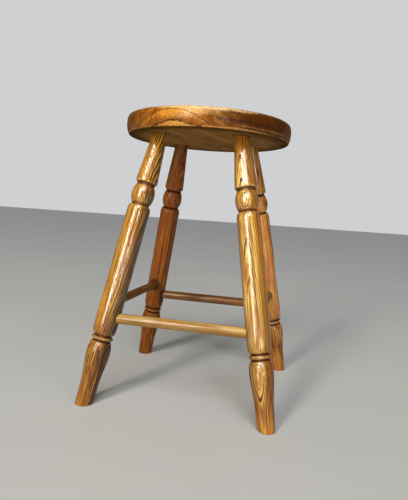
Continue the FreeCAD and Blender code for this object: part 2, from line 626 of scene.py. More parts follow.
def tones(*picked: tuple[int, int, int]) -> WoodColours:
    """The tones from the values of a colour picker: line, body, pale, pore, warm, stain and worn."""
    return WoodColours(*(colour(*values) for values in picked))


GOLDEN = tones((48, 25, 8), (144, 95, 31), (210, 164, 84), (44, 24, 7), (144, 85, 27), (68, 33, 6),
               (216, 170, 96))
HONEY = replace(GOLDEN, line=colour(50, 25, 4), body=colour(131, 83, 17), pale=colour(202, 152, 58),
                warm=colour(138, 78, 18))
# the front-right leg's tones; its pale stands partly for a painted highlight on the leg's front
CREAM = replace(GOLDEN, body=colour(149, 98, 24), pale=colour(234, 198, 110))
RED = tones((46, 22, 7), (109, 60, 19), (146, 92, 37), (34, 14, 5), (116, 57, 15), (48, 24, 8),
            (164, 106, 50))
ORANGE = tones((66, 31, 8), (159, 101, 34), (196, 142, 62), (42, 20, 6), (148, 72, 18), (32, 15, 5),
               (186, 130, 62))
TAN = tones((92, 64, 28), (140, 111, 57), (162, 135, 79), (64, 40, 14), (136, 90, 40), (38, 21, 8),
            (184, 146, 90))
BROWN = tones((50, 28, 10), (99, 61, 21), (121, 79, 32), (36, 20, 7), (88, 48, 18), (28, 14, 5),
              (134, 92, 50))
AMBER = tones((56, 28, 8), (133, 83, 25), (160, 107, 38), (44, 22, 6), (126, 69, 20), (40, 21, 7),
              (184, 130, 64))
BARE = tones((110, 78, 42), (144, 106, 62), (156, 119, 74), (66, 44, 20), (138, 94, 50), (24, 13, 5),
             (150, 120, 72))
# painted shade and floor dirt: the tone that darkens the lower parts
GRIME_AND_SHADE = colour(138, 104, 70)


class Pattern(Enum):
    """The noises in the wood: waves a millimetre across and along the grain, finer layers, and a seed."""

    STRAY = (0.022, 0.006, 1.5, 0)
    PORES = (1.7, 0.085, 1.0, 3)
    RIPPLE = (0.25, 0.025, 3.0, 7)
    FIBRE = (0.42, 0.007, 3.0, 11)
    FADING_LINES = (0.07, 0.010, 2.0, 13)
    WARM_PATCHES = (0.075, 0.018, 2.0, 17)
    BROAD_SHADES = (0.040, 0.010, 2.0, 19)
    GROOVE_STAIN = (0.12, 0.12, 2.0, 23)
    RUBBED_EDGES = (0.16, 0.16, 3.0, 29)
    # the ragged reach of the dirt and painted shade round the joints
    JOINT_DIRT = (0.25, 0.25, 3.0, 31)
    SMEARS = (0.06, 0.03, 4.0, 37)
    UNEVEN_COAT = (0.10, 0.035, 1.0, 41)
    RIM_TREMBLE = (0.22, 0.22, 3.0, 43)
    RIM_SWAY = (0.045, 0.045, 1.5, 45)
    RIM_WEAR = (0.16, 0.16, 3.0, 47)
    # the patchiness of the painted shade and dirt near the floor
    FLOOR_DIRT = (0.09, 0.03, 3.0, 53)
    FRAYED_BORDER = (0.16, 0.012, 3.0, 59)
    # the frayed edge of the painted shade on the seat's underside
    RIM_STAIN = (0.03, 0.03, 3.0, 61)


class Wood:
    """Draws one piece's wood: rings, pores, fibres, stain in the hollows, wear on the edges, dirt and
    painted shade round the joints and near the floor, and lacquer.

    A pair of numbers says where something begins and where it is full, or its least and its most.
    """

    drift_waves = 0.4             # a ring, in the noise that makes the rings' widths uneven
    line_rise = 0.15              # of the line's width
    line_fade_start = 0.1         # of the line's width
    line_fade_end = (0.7, 1.5)    # of the line's width, from ring to ring
    faintest_line = 0.4           # next to the boldest
    faded_lines = (0.36, 0.62)    # in the fading noise
    fading_depth = 0.65
    calm_trace = 0.15             # what is left of a line where it has faded sideways
    plain_trace = 0.35            # what is left of it on the plain side
    plain_border = (-5.0, 6.0)    # millimetres from the axis, on the side away from the heart
    # painted shade on the side turned from the lights: where it begins and is full across, and where it
    # thins along the piece
    painted_shade_border = (7.5, 19.0)     # the same
    fray = 7.0                    # millimetres by which such a border strays
    painted_shade_top = (350.0, 430.0)     # millimetres along the piece
    painted_shade_top_share = 0.5          # of the painted shade, that is left at the top
    fine_waves = 2.1              # a millimetre, in the noise that frays the pale late wood
    fine_reach = 0.4              # of a ring
    late_start = 0.25             # of a ring
    late_start_with_halo = 0.42   # of a ring
    halo_start = 0.8              # of the line's width
    halo_reach = 0.4              # of a ring
    crown_and_highlight = (13.0, 18.0)          # millimetres out from the axis, where the rings lie flat to the surface, on the side towards the lights; the paleness kept there is partly a painted highlight
    paleness_off_crown_and_highlight = 0.14
    pore_threshold = (0.68, 0.52)
    pore_softness = 0.07
    pore_darkness = 0.75
    warm_patches = (0.42, 0.66)
    warmth = 0.7
    sunk_fibres = (0.33, 0.52)
    raised_fibres = (0.33, 0.60)
    fibre_light = (0.55, 1.45)
    broad_light = (-0.45, 0.45)
    hollow_relief = (-0.08, -0.44)
    hollow_stain = (0.6, 1.2)
    edge_relief = (0.10, 0.55)
    rubbed = (0.40, 0.66)
    # dirt and painted shade round the joints
    joint_darkening_start = -1 * MILLIMETRE
    joint_darkening_reach = 9 * MILLIMETRE
    joint_face = 2 * MILLIMETRE
    joint_darkness = 0.85
    # darker towards the floor, painted shade with some floor dirt: its height, the lightened very foot, its
    # patchiness
    low_darkening_height = (0.03, 0.24)
    scuffed_height = (0.0, 0.09)
    low_darkening_patchiness = 0.6
    smear_roughness = 0.15
    open_roughness = 0.2          # more where the wood is open or dirty
    line_sink = 0.03              # millimetres
    pore_sink = 0.05              # millimetres
    fibre_rise = 0.10             # millimetres
    coat_height = (0.02, 0.25)
    coat_at_floor = 0.4
    coat_in_hollow = 0.2

    def __init__(self, name: str, colours: WoodColours, figure: Figure, lacquer: Lacquer,
                 place: Matrix) -> None:
        """Starts the material.

        Args:
            name: of the material.
            colours: its tones.
            figure: how its rings run.
            lacquer: its coat.
            place: turns the piece's own axes into the stool's: Z along the grain, X away from the heart.
        """
        self.material = bpy.data.materials.new(name)
        self.pen = cleared(self.material)
        self.colours = colours
        self.figure = figure
        self.lacquer = lacquer
        self.world = self.pen.take("ShaderNodeTexCoord", None, "Object")
        inputs = {"Vector": self.world, "Location": place.to_translation(), "Rotation": place.to_euler(),
                  "Scale": (MILLIMETRE,) * 3}
        self.local = self.pen.take("ShaderNodeMapping", inputs, vector_type="TEXTURE")  # in millimetres

    def draw(self, joints: list[Joint]) -> bpy.types.Material:
        """Draws the whole material.

        Args:
            joints: where other pieces go in.

        Returns:
            The finished material.
        """
        pen = self.pen
        early, tone = self.rings()
        pores = self.pores(early)
        fibre = self.noise(Pattern.FIBRE)
        tone = self.fibres(tone, fibre)
        tone = pen.mix(pores * self.pore_darkness, tone, self.colours.pore)
        relief = pen.take("ShaderNodeAttribute", None, "Fac", attribute_name=RELIEF)
        hollow = self.hollows(relief)
        tone = pen.mix(self.worn_edges(relief), tone, self.colours.worn)
        # stain in the hollows, and dirt and painted shade round the joints
        tone = pen.mix(hollow.at_least(self.joint_dirt_and_shade(joints)), tone, self.colours.stain)
        # painted shade and floor dirt, darker towards the floor
        tone = pen.mix(self.low_dirt_and_shade(), tone, GRIME_AND_SHADE, blend="MULTIPLY")
        self.surface(tone, early, pores, hollow, fibre)
        return self.material

    def marked(self, tone: Term) -> Term:
        """The tone with the marks of one particular piece, of which a plain piece has none."""
        return tone

    def noise(self, pattern: Pattern, output: str = "Fac") -> Term:
        """One of the wood's noises, from 0 to 1.

        Args:
            pattern: which of them.
            output: Fac for a number, Color for three numbers.

        Returns:
            The noise.
        """
        across, along, detail, shift = pattern.value
        place = self.local * (across, across, along)
        return self.pen.noise(place, detail, self.figure.seed + shift, output)

    def shaken(self, pattern: Pattern) -> Term:
        """One of the wood's noises as a vector, from -0.5 to 0.5 in each direction."""
        return self.noise(pattern, "Color") - (0.5,) * 3

    def ring_distance(self) -> Term:
        """How far a point lies from the heart of the tree.

        Returns:
            Millimetres, strayed and rippled as real rings are.
        """
        figure = self.figure
        stray = self.shaken(Pattern.STRAY) * (2 * figure.wander)
        ripple = self.shaken(Pattern.RIPPLE) * (2 * figure.ripple)
        place = self.local + (stray + ripple)
        out = place.part("Z") * figure.lean_out + place.part("X")
        if figure.bow:
            out = out + self.bowed()
        return self.pen.join(out + figure.heart_distance, place.part("Y")).length()

    def bowed(self) -> Term:
        """How far the rings stand out along the grain, as a smooth curve through the figure's bow.

        Returns:
            The distance, in millimetres.
        """
        bow = self.figure.bow
        length = bow[-1][0]
        height = max(out for _, out in bow)
        depth = min(out for _, out in bow)
        made = self.pen.node("ShaderNodeFloatCurve", {"Value": (self.local.part("Z") / length).clamped()})
        curve = made.mapping.curves[0]
        knots = [(place / length, (out - depth) / (height - depth)) for place, out in bow]
        curve.points[0].location = knots[0]
        curve.points[-1].location = knots[-1]
        for knot in knots[1:-1]:
            curve.points.new(*knot)
        made.mapping.update()
        return Term(self.pen, made.outputs[0]).between(depth, height)

    def rings(self) -> tuple[Term, Term]:
        """The growth rings: a dark porous line that starts sharply and fades into pale late wood.

        Returns:
            How porous the wood is, from 0 to 1, and its colour.
        """
        pen = self.pen
        figure = self.figure
        distance = self.ring_distance()
        count = distance / figure.ring_width + figure.phase
        uneven = pen.wave(count * self.drift_waves, 0.0) * figure.drift + count
        phase = uneven.then("FRACT")
        ring = uneven.then("FLOOR") + figure.seed
        kind = pen.take("ShaderNodeTexWhiteNoise", {"W": ring}, "Value", noise_dimensions="1D")
        line = figure.line_width / figure.ring_width
        end = kind.between(*(share * line for share in self.line_fade_end))
        fade = 1.0 - phase.ramp(self.line_fade_start * line, end)
        early = phase.ramp(1.0 - self.line_rise * line, 1.0).at_least(fade)
        late = pen.mix(self.paleness(distance, phase, line), self.colours.body, self.colours.pale)
        return early, pen.mix(early * self.line_depth(kind), late, self.colours.line)

    def line_depth(self, kind: Term) -> Term:
        """How dark the rings' lines are at a place.

        Args:
            kind: a random number for each ring.

        Returns:
            The depth, from 0 to 1.
        """
        figure = self.figure
        least = 1.0 - self.fading_depth * figure.fading
        steady = self.noise(Pattern.FADING_LINES).ramp(*self.faded_lines)
        steady = steady.between(least, least + figure.fading)
        depth = (kind.between(self.faintest_line * figure.boldness, figure.boldness) * steady).clamped()
        if figure.calm:
            calm = self.local.part("Y").then("ABSOLUTE").ramp(*figure.calm)
            depth = depth * calm.between(1.0, self.calm_trace)
        if figure.plain_side:
            depth = depth * self.away_from_heart(self.plain_border).between(self.plain_trace, 1.0)
        return depth

    def paleness(self, distance: Term, phase: Term, line: float) -> Term:
        """How pale the wood between the lines is, from 0 to 1; with a halo, the paleness is kept to the
        crown that faces the lights, partly a painted highlight.

        Args:
            distance: from the heart of the tree.
            phase: the place in the ring, from 0 to 1.
            line: the width of the line, as a share of the ring.

        Returns:
            The paleness.
        """
        figure = self.figure
        fine = self.pen.wave(distance * self.fine_waves, 2.0).between(-self.fine_reach, self.fine_reach)
        if not figure.halo:
            return (phase + fine).ramp(self.late_start, 1.0)
        before = (phase + fine).ramp(self.late_start_with_halo, 1.0)
        start = self.halo_start * line
        after = 1.0 - phase.ramp(start, start + self.halo_reach)
        # painted highlight, partly pale late wood: the paleness is kept to the crown that faces the lights
        on_crown_and_highlight = self.local.part("X").ramp(*self.crown_and_highlight)
        return before.at_least(after * figure.halo) * on_crown_and_highlight.between(self.paleness_off_crown_and_highlight, 1.0)

    def away_from_heart(self, border: tuple[float, float]) -> Term:
        """0 on the side that faces the heart, 1 on the other side, with a frayed border."""
        frayed = self.noise(Pattern.FRAYED_BORDER).between(-self.fray, self.fray)
        return (self.local.part("X") + frayed).ramp(*border)

    def pores(self, early: Term) -> Term:
        """Open pores: short dark dashes along the grain, crowded in the early wood."""
        least = early.between(*self.pore_threshold)
        return self.noise(Pattern.PORES).ramp(least, least + self.pore_softness) * self.figure.porosity

    def fibres(self, tone: Term, fibre: Term) -> Term:
        """Varies a tone with patches of warmer stain, dark fibres and broad shades, and paints shade on the
        side that faces away from the heart, which is turned from the lights.

        Args:
            tone: the colour of the rings.
            fibre: how high the fibres stand, from 0 to 1.

        Returns:
            The varied colour.
        """
        pen = self.pen
        figure = self.figure
        patches = self.noise(Pattern.WARM_PATCHES).ramp(*self.warm_patches)
        warmed = self.marked(pen.mix(patches * self.warmth, tone, self.colours.warm))
        sunk = 1.0 - fibre.ramp(*self.sunk_fibres)
        lined = pen.mix(sunk * figure.streakiness, warmed, self.colours.line)
        broad = self.noise(Pattern.BROAD_SHADES).between(*self.broad_light)
        light = fibre.between(*self.fibre_light) + broad
        # painted shade: the side that faces away from the heart, turned from the lights, is darkened, less
        # so at the top
        if figure.painted_side_shade:
            top = self.local.part("Z").ramp(*self.painted_shade_top)
            depth = self.away_from_heart(self.painted_shade_border) * top.between(1.0, self.painted_shade_top_share)
            light = light * depth.between(1.0, 1.0 - figure.painted_side_shade)
        return pen.mix(1.0, lined, light, blend="MULTIPLY")

    def hollows(self, relief: Term) -> Term:
        """How much stain and old polish lies in the turned grooves, from 0 to 1."""
        smudge = self.noise(Pattern.GROOVE_STAIN).between(*self.hollow_stain)
        return (relief.ramp(*self.hollow_relief) * smudge).clamped()

    def worn_edges(self, relief: Term) -> Term:
        """How far the stain is rubbed off the edges and beads, from 0 to 1."""
        patchy = self.noise(Pattern.RUBBED_EDGES).ramp(*self.rubbed)
        return relief.ramp(*self.edge_relief) * patchy * self.lacquer.wear

    def joint_dirt_and_shade(self, joints: list[Joint]) -> Term | float:
        """How much dirt and painted shade lie round the places where other pieces go in, from 0 to 1.

        Args:
            joints: the places.

        Returns:
            The amount.
        """
        full = self.joint_darkening_start + self.joint_darkening_reach * self.lacquer.joint_darkening
        reach = self.noise(Pattern.JOINT_DIRT).between(self.joint_darkening_start, full)
        total = 0.0
        for joint in joints:
            offset = self.world - joint.centre
            beyond = offset.cross(joint.along).length() - joint.radius
            ring = 1.0 - (beyond / reach).ramp(0.0, 1.0)
            total = (ring * offset.dot(joint.along).ramp(0.0, self.joint_face)).at_least(total)
        return total * self.joint_darkness

    def low_dirt_and_shade(self) -> Term:
        """How much darker the wood is near the floor: painted shade where the light falls off downward, and
        some floor dirt.

        Returns:
            The amount, from 0 upwards, most just above the floor.
        """
        height = self.world.part("Z")
        grime_and_shade = self.lacquer.grime_and_shade
        low = 1.0 - height.ramp(*self.low_darkening_height)
        scuffed = height.ramp(*self.scuffed_height).between(1.0 - self.lacquer.scuff, 1.0)
        patchy = self.noise(Pattern.FLOOR_DIRT).between(grime_and_shade, grime_and_shade + self.low_darkening_patchiness)
        return low * scuffed * patchy

    def surface(self, tone: Term, early: Term, pores: Term, hollow: Term, fibre: Term) -> None:
        """Joins the colours, roughness and bumps to the shader.

        The coat thins in grooves and near the floor.

        Args:
            tone: the colour.
            early: how porous the wood is.
            pores: where the pores are.
            hollow: where the grooves are.
            fibre: how high the fibres stand.
        """
        pen = self.pen
        lacquer = self.lacquer
        smooth = lacquer.wood_roughness - self.smear_roughness
        smeared = self.noise(Pattern.SMEARS).between(smooth, smooth + 2 * self.smear_roughness)
        sunk = early * self.line_sink + pores * self.pore_sink
        raised = (self.noise(Pattern.UNEVEN_COAT) * lacquer.waviness
                  + fibre.ramp(*self.raised_fibres) * self.fibre_rise)
        inputs = {"Height": raised - sunk, "Strength": 1.0, "Distance": MILLIMETRE}
        bump = pen.take("ShaderNodeBump", inputs)
        kept = self.world.part("Z").ramp(*self.coat_height).between(self.coat_at_floor, 1.0)
        kept = kept * hollow.between(1.0, self.coat_in_hollow)
        shader = pen.take("ShaderNodeBsdfPrincipled", {
            "Base Color": tone,
            "Roughness": smeared + pores.at_least(hollow) * self.open_roughness,
            "Normal": bump,
            "Coat Normal": bump,
            "Coat Weight": kept * lacquer.weight,
            "Coat Roughness": lacquer.roughness,
            "Coat IOR": lacquer.ior,
            "Specular IOR Level": lacquer.wood_shine,
        })
        pen.node("ShaderNodeOutputMaterial", {"Surface": shader})


@dataclass(frozen=True)
class Stroke:
    """A line of grain on the seat's rim.

    Its places are degrees from the front of the stool, towards +X, and millimetres above the underside.
    """

    places: Pairs
    tone: Tone
    width: float
    strength: float


@dataclass(frozen=True)
class Cloud:
    """A soft patch of another tone, centred on the seat's rim; the rim's clouds are tones of the wood,
    painted highlights and painted shade. Lengths are in millimetres.
    """

    turn: float
    height: float
    reach_across: float
    reach_up: float
    tone: Tone
    strength: float


RIM_TONES_AND_PAINTED_LIGHT = (
    # painted shade, partly the wood's darker tone: the rim darkens towards its right side
    Cloud(50.0, 14.0, 140.0, 60.0, colour(64, 35, 8), 0.96),
    # painted shade, partly the wood's darker tone: the rim darkens towards its left side
    Cloud(-66.0, 14.0, 128.0, 60.0, colour(84, 52, 22), 0.72),
    # painted light: a warm glow on the middle of the rim, round its highlight
    Cloud(-10.0, 19.0, 48.0, 9.0, colour(196, 128, 48), 0.55),
    Cloud(-9.0, 3.5, 38.0, 5.5, colour(196, 142, 74), 0.55),
    # painted light: the middle of the rim made paler where the front lights fall
    Cloud(4.0, 23.0, 40.0, 9.0, colour(214, 160, 88), 0.5),
    # painted highlight along the rounded upper edge
    Cloud(10.0, 29.8, 108.0, 5.0, colour(232, 192, 132), 0.6),
    # painted highlight along the lower edge, a reflection of the floor
    Cloud(26.0, 1.5, 80.0, 2.4, colour(190, 136, 74), 0.5),
)
RIM_STROKES = (
    Stroke(((-27.0, 1.5), (-19.2, 5.5), (-16.2, 7.5), (-13.2, 9.2), (-8.5, 10.0), (-6.0, 8.7), (-2.8, 6.5),
            (1.5, 3.7), (7.0, 1.0)), colour(58, 26, 7), 1.3, 0.95),
    Stroke(((-23.0, 27.0), (-26.0, 18.5), (-26.8, 11.8), (-29.5, 5.0)), colour(70, 34, 12), 1.2, 0.85),
    Stroke(((0.0, 20.0), (5.5, 15.0), (8.0, 11.5), (12.0, 5.0)), colour(74, 36, 12), 1.3, 0.75),
    Stroke(((-14.4, 31.0), (-14.8, 24.0), (-15.6, 17.0)), colour(46, 20, 6), 0.8, 0.9),
    Stroke(((-38.5, 24.0), (-37.6, 16.0), (-38.4, 8.0)), colour(84, 46, 18), 1.6, 0.6),
    Stroke(((16.0, 15.0), (28.0, 13.0), (44.0, 12.5), (64.0, 11.0)), colour(46, 24, 9), 2.2, 0.6),
    Stroke(((30.0, 7.0), (46.0, 6.0), (70.0, 6.5)), colour(150, 100, 50), 1.2, 0.45),
)


class RimWood(Wood):
    """The seat's wood, with the marks that its rim shows, painted highlights and painted shade among them.
    Lengths are in millimetres.
    """

    radius = 150.0
    underside = 474.0
    rim_inside = (14.0, 4.0)     # in from the radius
    cloud_edge = (0.3, 1.0)      # of a cloud's reach
    cloud_bend = 0.7
    stroke_edge = (0.35, 1.5)    # of a stroke's width
    stroke_bend = 5.0
    stroke_wear = (0.34, 0.56)
    stroke_trace = 0.2           # what is left of a stroke where it is worn
    far_away = 1000.0            # farther than any stroke

    def marked(self, tone: Term) -> Term:
        """The tone with the rim's patches and lines, painted highlights and painted shade among the
        patches.

        Args:
            tone: the colour of the rings.

        Returns:
            The marked colour.
        """
        place = self.world * (1 / MILLIMETRE)
        sway = self.shaken(Pattern.RIM_SWAY)
        outer = (place * LEVEL).length().ramp(*(self.radius - inset for inset in self.rim_inside))
        # the clouds: tones of the wood, painted highlights and painted shade
        for cloud in RIM_TONES_AND_PAINTED_LIGHT:
            tone = self.pen.mix(self.near(cloud, place, sway) * outer * cloud.strength, tone, cloud.tone)
        shown = (self.noise(Pattern.RIM_WEAR).ramp(*self.stroke_wear) + self.stroke_trace).clamped()
        turn = place.part("X").then("ARCTAN2", place.part("Y") * -1.0)
        spread = self.pen.join(turn * self.radius, place.part("Z") - self.underside)
        spread = spread + self.shaken(Pattern.RIM_TREMBLE) * self.stroke_bend
        for stroke in RIM_STROKES:
            edge = (share * stroke.width for share in self.stroke_edge)
            full = 1.0 - self.gap_to(stroke, spread).ramp(*edge)
            tone = self.pen.mix(full * shown * stroke.strength, tone, stroke.tone)
        return tone

    def near(self, cloud: Cloud, place: Term, sway: Term) -> Term:
        """How near a point is to a cloud's middle.

        Args:
            cloud: the cloud.
            place: the point.
            sway: a broad noise that bends the cloud.

        Returns:
            1 in the middle, 0 beyond its reach.
        """
        turn = math.radians(cloud.turn)
        middle = (self.radius * math.sin(turn), -self.radius * math.cos(turn),
                  self.underside + cloud.height)
        shrink = (1 / cloud.reach_across, 1 / cloud.reach_across, 1 / cloud.reach_up)
        bent = (place - middle) * shrink + sway * self.cloud_bend
        return 1.0 - bent.length().ramp(*self.cloud_edge)

    def gap_to(self, stroke: Stroke, place: Term) -> Term:
        """How far a point lies from a stroke.

        Args:
            stroke: the stroke.
            place: the point, as its place round the rim and its height above the underside.

        Returns:
            The distance.
        """
        corners = [Vector((math.radians(turn) * self.radius, height, 0.0))
                   for turn, height in stroke.places]
        least = self.far_away
        for start, end in zip(corners, corners[1:]):
            stretch = end - start
            offset = place - start
            share = (offset.dot(stretch) * (1 / stretch.length_squared)).clamped()
            least = (offset - self.pen.reckon("MULTIPLY", stretch, share)).length().at_most(least)
        return least


class BareWood(Wood):
    """The seat's unpolished underside, darkened towards the rim with painted shade under the rim's
    overhang.
    """

    # painted shade under the rim: where it begins, where it is full, and how dark
    rim_shade_start = (80 * MILLIMETRE, 125 * MILLIMETRE)
    rim_shade_full = 146 * MILLIMETRE
    rim_shade_darkness = 0.74

    def marked(self, tone: Term) -> Term:
        """The tone with painted shade towards the rim, in the tone of the stain.

        Args:
            tone: the colour of the rings.

        Returns:
            The stained colour.
        """
        start = self.noise(Pattern.RIM_STAIN).between(*self.rim_shade_start)
        rim_shaded = (self.world * LEVEL).length().ramp(start, self.rim_shade_full)
        return self.pen.mix(rim_shaded * self.rim_shade_darkness, tone, self.colours.stain)


def grain_axes(foot: Vector, along: Vector, out: Vector, turn: float) -> Matrix:
    """The axes of a piece of wood.

    Args:
        foot: the origin.
        along: the direction of the grain.
        out: roughly the direction away from the heart, before it is turned.
        turn: degrees to turn it about the grain.

    Returns:
        A matrix from the piece's axes to the stool's.
    """
    z_axis = along.normalized()
    y_axis = z_axis.cross(out).normalized()
    x_axis = y_axis.cross(z_axis)
    frame_axes = Matrix((x_axis, y_axis, z_axis)).transposed().to_4x4()
    return Matrix.Translation(foot) @ frame_axes @ Matrix.Rotation(math.radians(turn), 4, "Z")


# Pieces


@dataclass(frozen=True)
class Plan:
    """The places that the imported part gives, from which every piece is set out."""

    seat_low: Vector = field(default_factory=lambda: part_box("seat")[0])
    seat_high: Vector = field(default_factory=lambda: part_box("seat")[1])

    def foot(self, node: str) -> Vector:
        """Where a leg's axis meets the floor."""
        name = node.replace("leg", "foot")
        return Vector(next(m["pos_m"] for m in frame["record"]["mounts"] if m["name"] == name))

    def rail(self, node: str) -> tuple[Vector, float, float]:
        """Where a stretcher lies.

        Args:
            node: the stretcher's name.

        Returns:
            Its middle, half its length and its radius.
        """
        low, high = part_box(node)
        size = high - low
        return (low + high) / 2, max(size) / 2, min(size) / 2

    def rail_axis(self, node: str) -> Vector:
        """A stretcher's direction."""
        return Vector((1, 0, 0)) if node in ("stretcher_front", "stretcher_back") else Vector((0, 1, 0))

    def head(self, node: str) -> Vector:
        """Where a leg's axis meets the seat's underside.

        Args:
            node: the leg's name.

        Returns:
            The place.
        """
        foot = self.foot(node)
        rail = self.rail("stretcher_front")[0]
        height = self.seat_low.z
        lean = (abs(foot.y) - abs(rail.y)) / rail.z
        spread = abs(foot.y) - lean * height
        return Vector((math.copysign(spread, foot.x), math.copysign(spread, foot.y), height))


@dataclass(frozen=True)
class Piece:
    """One turned piece of the stool."""

    node: str
    plan: Plan
    colours: WoodColours
    figure: Figure
    lacquer: Lacquer
    finish: Finish = Finish.STRETCHER
    around: int = 64
    unevenness: float = 0.0003
    cut_round: float = 0.0
    kind = "round_"
    outward = UP  # roughly away from the heart of the tree
    wood = Wood

    @property
    def name(self) -> str:
        """What the finished piece is called."""
        return self.kind + self.node

    @property
    def wood_name(self) -> str:
        """What its material is called."""
        return self.name + "_wood"

    def grain(self) -> Matrix:
        """The axes of the piece's wood."""
        return grain_axes(self.foot, self.axis, self.outward, self.figure.heart_turn)

    def joints(self) -> list[Joint]:
        """Where other pieces go in and dirt and painted shade gather, which a plain piece has nowhere."""
        return []

    def turned(self, lathe: Lathe) -> bpy.types.Object:
        """Turns the piece from its wood."""
        wood = self.wood(self.wood_name, self.colours, self.figure, self.lacquer, self.grain())
        return lathe.turn(self, wood.draw(self.joints()))

    def build(self, lathe: Lathe) -> bpy.types.Object:
        """Turns the piece and puts it in the place of its plain solid.

        Args:
            lathe: the lathe.

        Returns:
            The finished piece.
        """
        made = self.turned(lathe)
        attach(made, BODY)
        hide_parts(self.node)
        log.info("%s: %d faces in place of %s", made.name, len(made.data.polygons), self.node)
        return made


@dataclass(frozen=True)
class TurnedLeg(Piece):
    """A leg: tapered foot, ring bead, long shaft, ball, and a tapered top that goes into the seat.

    Shares are of the leg's length to the seat's underside, then of its greatest radius.
    """

    around: int = 96
    cut_round: float = 0.0012
    radius: float = 0.0205
    top_radius: float = 0.0129
    top_straight: float = 0.003
    tenon: float = 0.020
    foot_shares: Pairs = ((-0.0121, 0.704), (0.0492, 0.752), (0.0974, 0.803), (0.1436, 0.912),
                          (0.1747, 0.985), (0.1968, 1.000), (0.2159, 0.950), (0.2315, 0.835))
    ring_shares: Pairs = ((0.2360, 0.740), (0.2405, 0.845), (0.2458, 0.915), (0.2511, 0.845),
                          (0.2556, 0.745), (0.2599, 0.850))
    shaft_shares: Pairs = ((0.2671, 0.935), (0.2812, 0.984), (0.3093, 1.000), (0.4067, 0.990),
                           (0.5322, 0.975), (0.6427, 0.965), (0.7030, 0.960), (0.7215, 0.945),
                           (0.7321, 0.868))
    ball_shares: Pairs = ((0.7383, 0.735), (0.7431, 0.800), (0.7723, 0.962), (0.8024, 0.815),
                          (0.8079, 0.755), (0.8164, 0.800))
    shoulder_shares: Pairs = ((0.8174, 0.880), (0.8200, 0.920))
    kind = "turned_"
    outward = Vector((0, -1, 0))

    @property
    def foot(self) -> Vector:
        """Where the leg's axis meets the floor."""
        return self.plan.foot(self.node)

    @property
    def rise(self) -> Vector:
        """From the foot to where the axis meets the seat's underside."""
        return self.plan.head(self.node) - self.foot

    @property
    def axis(self) -> Vector:
        """The leg's direction, from the floor to the seat."""
        return self.rise.normalized()

    def at(self, shares: Pairs) -> list[Vector]:
        """Points of the outline, from their shares."""
        return [Vector((self.radius * across, self.rise.length * along)) for along, across in shares]

    def outline(self) -> Outline:
        """Draws the leg from its foot to the end of its tenon.

        Returns:
            The outline.
        """
        length = self.rise.length
        foot = self.at(self.foot_shares)
        outline = Outline(Vector((0.0, foot[0].y)))
        outline.line_to(foot[0].x, foot[0].y)
        outline.curve_to(foot[1:])
        for beads in (self.ring_shares, self.ball_shares):
            points = self.at(beads)
            for middle, end in zip(points[::2], points[1::2]):
                outline.arc_to(middle, end)
            if beads is self.ring_shares:
                outline.curve_to(self.at(self.shaft_shares))
        for point in self.at(self.shoulder_shares):
            outline.line_to(point.x, point.y)
        slope = math.tan(self.axis.angle(UP))
        outline.line_to(self.top_radius, length - self.top_radius * slope - self.top_straight)
        outline.line_to(self.top_radius, length + self.tenon)
        outline.line_to(0.0, length + self.tenon)
        return outline

    def joints(self) -> list[Joint]:
        """Where the two stretchers go in.

        Returns:
            The two places.
        """
        found = []
        for side in self.node.split("_")[1:]:
            rail = "stretcher_" + side
            middle, _, radius = self.plan.rail(rail)
            along = self.plan.rail_axis(rail)
            centre = self.foot + self.rise * (middle.z / self.plan.seat_low.z)
            found.append(Joint(centre, along * -math.copysign(1, self.foot.dot(along)), radius))
        return found


